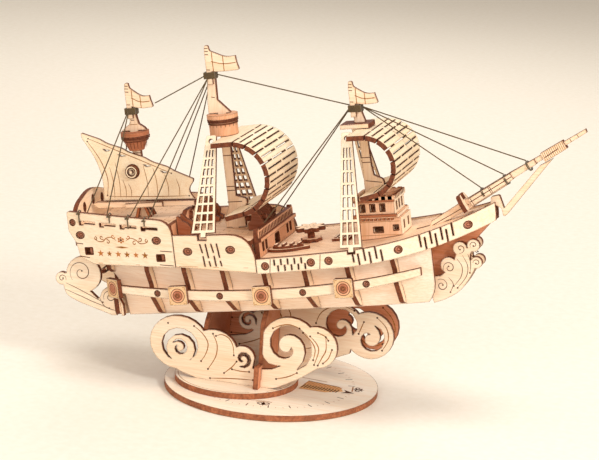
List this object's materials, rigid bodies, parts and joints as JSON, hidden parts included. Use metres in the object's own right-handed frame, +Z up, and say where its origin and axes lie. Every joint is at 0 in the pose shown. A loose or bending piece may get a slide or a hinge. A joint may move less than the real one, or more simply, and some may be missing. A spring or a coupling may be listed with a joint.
{
  "type": "wooden 3d jigsaw model",
  "caption": "Laser-cut plywood puzzle of a sailing ship with bellied slit sails and thread rigging, pitched bow up on scrolled wave plates over a round engraved base.",
  "frame": {"origin": "centre of the base disc's underside, on the surface it stands on", "axes": "+Z up; +X from the stern towards the bow, level with the base; +Y to the ship's port side"},
  "size_m": [0.2575, 0.108, 0.172],
  "materials": {
    "plywood": "uncoated pale birch plywood with edges scorched dark brown by laser cutting",
    "skin_plywood": "thin uncoated plywood sheet, scorched at its edges",
    "base_plywood": "uncoated pale plywood with engraved marks",
    "thread": "dark waxed cotton thread"
  },
  "bodies": {
    "ship_and_stand": {"wave_front": "plywood", "wave_rear": "plywood", "wave_back": "plywood", "brace_aft": "plywood", "brace_fore": "plywood", "keel_plate": "plywood", "rib_1": "plywood", "rib_2": "plywood", "rib_3": "plywood", "rib_4": "plywood", "rib_5": "plywood", "rib_6": "plywood", "rib_7": "plywood", "stern_frame": "plywood", "poop_deck": "plywood", "quarter_deck": "plywood", "main_deck": "plywood", "cabin_front": "plywood", "poop_front": "plywood", "transom": "plywood", "forecastle_lower": "plywood", "forecastle_upper": "plywood", "mizzen_mast": "plywood", "main_mast": "plywood", "fore_mast": "plywood", "mizzen_nest": "plywood", "main_nest": "plywood", "mizzen_flag": "plywood", "main_flag": "plywood", "fore_flag": "plywood", "main_sail": "plywood", "fore_sail": "plywood", "lateen_sail": "plywood", "boom": "plywood", "bowsprit": "plywood", "head_brace": "plywood", "poop_panel_starboard": "plywood", "poop_panel_port": "plywood", "quarter_panel_starboard": "plywood", "quarter_panel_port": "plywood", "waist_rail_starboard": "plywood", "waist_rail_port": "plywood", "wale_starboard": "plywood", "wale_port": "plywood", "hull_skin_starboard": "skin_plywood", "hull_skin_port": "skin_plywood", "main_shrouds_starboard": "plywood", "main_shrouds_port": "plywood", "fore_shrouds_starboard": "plywood", "fore_shrouds_port": "plywood", "bow_wave_starboard": "plywood", "bow_wave_port": "plywood", "stern_wave_starboard": "plywood", "stern_wave_port": "plywood", "base_disc": "base_plywood", "stand_disc": "base_plywood", "mizzen_rigging": "thread", "main_and_fore_rigging": "thread"},
    "capstan_body": {"capstan": "plywood"},
    "helm_body": {"helm_wheel": "plywood"}
  },
  "joints": [
    {"name": "capstan_spin", "type": "hinge", "parent": "ship_and_stand", "child": "capstan_body", "pos_m": [0.01762, -0.006, 0.08434], "axis": [-0.1736, 0, 0.9848], "continuous": true},
    {"name": "helm_spin", "type": "hinge", "parent": "ship_and_stand", "child": "helm_body", "pos_m": [-0.04275, -0.006, 0.08466], "axis": [0.9848, 0, 0.1736], "continuous": true}
  ]
}
